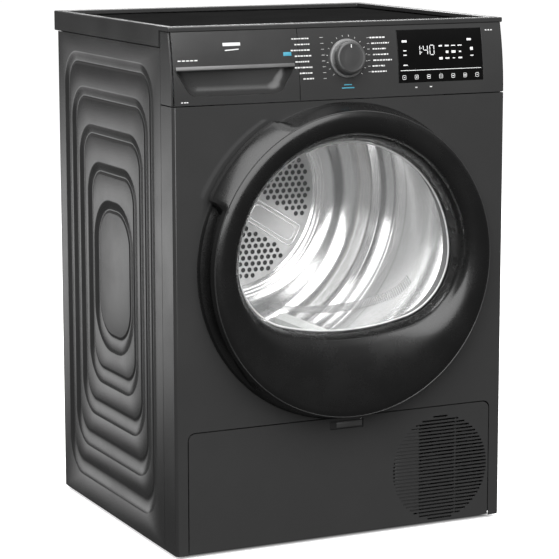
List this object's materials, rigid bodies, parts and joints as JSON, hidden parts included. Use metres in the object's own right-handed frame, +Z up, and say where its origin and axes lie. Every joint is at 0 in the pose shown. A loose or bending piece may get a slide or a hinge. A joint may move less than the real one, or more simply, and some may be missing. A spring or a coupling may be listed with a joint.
{
  "type": "clothes dryer",
  "caption": "Front-loading heat-pump clothes dryer with a round glass door, steel drum, drawer-type water tank, dial, display and fold-down service panel.",
  "frame": {"origin": "centre of the bounding box on the floor", "axes": "+X to the viewer's right when facing the door, +Y towards the back, +Z up"},
  "size_m": [0.597, 0.609, 0.846],
  "materials": {
    "body_paint": "satin anthracite powder coat with a fine orange peel",
    "gloss_black": "polished black plastic",
    "matte_black": "finely grained black plastic",
    "display_glass": "smoked black display lens",
    "knob_metal": "dark satin metal effect",
    "grey_plastic": "grey moulded plastic",
    "light_plastic": "light grey moulded plastic",
    "tank_plastic": "milky polypropylene",
    "drum_steel": "polished stainless steel",
    "zinc_steel": "zinc-plated steel",
    "cast_metal": "cast metal",
    "aluminium_fins": "thin fins",
    "copper_pipe": "drawn copper",
    "black_enamel": "black enamel",
    "rubber": "matt black rubber",
    "felt": "pressed wool felt",
    "circuit_board": "green solder resist",
    "lever_blue": "blue moulded plastic",
    "clear_glass": "clear moulded glass"
  },
  "bodies": {
    "cabinet": {"base_tray": "light_plastic", "left_side_panel": "body_paint", "right_side_panel": "body_paint", "front_panel": "body_paint", "rear_panel": "zinc_steel", "rear_duct_cover": "zinc_steel", "top_frame": "body_paint", "top_board": "matte_black", "control_fascia": "body_paint", "display_window": "display_glass", "control_board": "circuit_board", "tank_housing": "light_plastic", "front_bulkhead": "light_plastic", "drum_seals": "felt", "lint_filter": "grey_plastic", "door_lock": "light_plastic", "door_seal": "rubber", "hinge_bracket": "cast_metal", "rear_bearing": "cast_metal", "roller_axles": "zinc_steel", "drive_belt": "rubber", "motor_stator": "cast_metal", "compressor": "black_enamel", "evaporator": "aluminium_fins", "condenser": "aluminium_fins", "air_housing": "light_plastic", "exchanger_cover": "grey_plastic", "refrigerant_pipes": "copper_pipe", "condensate_pump": "light_plastic", "cooling_fan_shroud": "matte_black", "mains_inlet": "matte_black", "drain_spigot": "light_plastic", "rear_screws": "zinc_steel", "tensioner_spring": "zinc_steel"},
    "door": {"door_trim": "gloss_black", "door_frame": "grey_plastic", "door_glass": "clear_glass", "hinge_arm": "cast_metal", "door_hook": "zinc_steel"},
    "drum": {"drum_shell": "drum_steel", "drum_back": "drum_steel", "drum_lifters": "light_plastic", "drum_shaft": "cast_metal"},
    "motor_shaft": {"motor_rotor": "zinc_steel", "process_fan": "matte_black"},
    "idler_arm": {"idler_arm": "zinc_steel"},
    "idler_pulley": {"idler_pulley": "matte_black"},
    "left_roller": {"left_roller": "grey_plastic"},
    "right_roller": {"right_roller": "grey_plastic"},
    "knob": {"selector_knob": "knob_metal"},
    "tank": {"tank_front": "body_paint", "tank_body": "tank_plastic"},
    "kick_panel": {"kick_panel": "body_paint"},
    "kick_latch": {"kick_latch": "matte_black"},
    "cooling_fan": {"cooling_fan": "matte_black"},
    "cover_lever": {"cover_lever": "lever_blue"},
    "front_left_foot": {"front_left_foot": "rubber"},
    "front_right_foot": {"front_right_foot": "rubber"},
    "rear_left_foot": {"rear_left_foot": "rubber"},
    "rear_right_foot": {"rear_right_foot": "rubber"}
  },
  "joints": [
    {"name": "door_hinge", "type": "hinge", "parent": "cabinet", "child": "door", "pos_m": [0.236, -0.2805, 0.462], "axis": [0, 0, 1], "range_deg": [0, 130]},
    {"name": "drum_spin", "type": "hinge", "parent": "cabinet", "child": "drum", "pos_m": [0, -0.0065, 0.515], "axis": [0, 1, 0], "continuous": true},
    {"name": "motor_spin", "type": "hinge", "parent": "cabinet", "child": "motor_shaft", "pos_m": [0.06, -0.0115, 0.1], "axis": [0, 1, 0], "continuous": true},
    {"name": "idler_arm_swing", "type": "hinge", "parent": "cabinet", "child": "idler_arm", "pos_m": [-0.025, 0.0015, 0.034], "axis": [0, -1, 0], "range_deg": [0, 8], "stiffness_Nm_per_rad": 4, "springref_deg": -20.05, "deforming": ["tensioner_spring"]},
    {"name": "idler_pulley_spin", "type": "hinge", "parent": "idler_arm", "child": "idler_pulley", "pos_m": [-0.025, -0.0115, 0.16], "axis": [0, 1, 0], "continuous": true},
    {"name": "left_roller_spin", "type": "hinge", "parent": "cabinet", "child": "left_roller", "pos_m": [-0.19174, -0.2035, 0.28649], "axis": [0, 1, 0], "continuous": true},
    {"name": "right_roller_spin", "type": "hinge", "parent": "cabinet", "child": "right_roller", "pos_m": [0.19174, -0.2035, 0.28649], "axis": [0, 1, 0], "continuous": true},
    {"name": "knob_turn", "type": "hinge", "parent": "cabinet", "child": "knob", "pos_m": [0.007, -0.25195, 0.789], "axis": [0, -0.9903, 0.1387], "continuous": true},
    {"name": "tank_slide", "type": "slide", "parent": "cabinet", "child": "tank", "axis": [0, -1, 0], "range_m": [0, 0.35]},
    {"name": "kick_panel_fold", "type": "hinge", "parent": "cabinet", "child": "kick_panel", "pos_m": [0, -0.2475, 0.0135], "axis": [1, 0, 0], "range_deg": [0, 85]},
    {"name": "kick_latch_press", "type": "slide", "parent": "kick_panel", "child": "kick_latch", "axis": [0, 1, 0], "range_m": [0, 0.003], "stiffness_N_per_m": 800, "springref_m": -0.003},
    {"name": "cooling_fan_spin", "type": "hinge", "parent": "cabinet", "child": "cooling_fan", "pos_m": [0.182, -0.2065, 0.099], "axis": [0, 1, 0], "continuous": true},
    {"name": "cover_lever_turn", "type": "hinge", "parent": "cabinet", "child": "cover_lever", "pos_m": [-0.18225, -0.2255, 0.176], "axis": [0, 1, 0], "range_deg": [0, 90]},
    {"name": "front_left_foot_screw", "type": "slide", "parent": "cabinet", "child": "front_left_foot", "axis": [0, 0, -1], "range_m": [0, 0.012]},
    {"name": "front_right_foot_screw", "type": "slide", "parent": "cabinet", "child": "front_right_foot", "axis": [0, 0, -1], "range_m": [0, 0.012]},
    {"name": "rear_left_foot_screw", "type": "slide", "parent": "cabinet", "child": "rear_left_foot", "axis": [0, 0, -1], "range_m": [0, 0.012]},
    {"name": "rear_right_foot_screw", "type": "slide", "parent": "cabinet", "child": "rear_right_foot", "axis": [0, 0, -1], "range_m": [0, 0.012]}
  ],
  "couplings": [
    {"joint": "motor_spin", "follows": "drum_spin", "ratio": 26.809},
    {"joint": "idler_pulley_spin", "follows": "drum_spin", "ratio": -13.093},
    {"joint": "left_roller_spin", "follows": "drum_spin", "ratio": -15.556},
    {"joint": "right_roller_spin", "follows": "drum_spin", "ratio": -15.556}
  ]
}
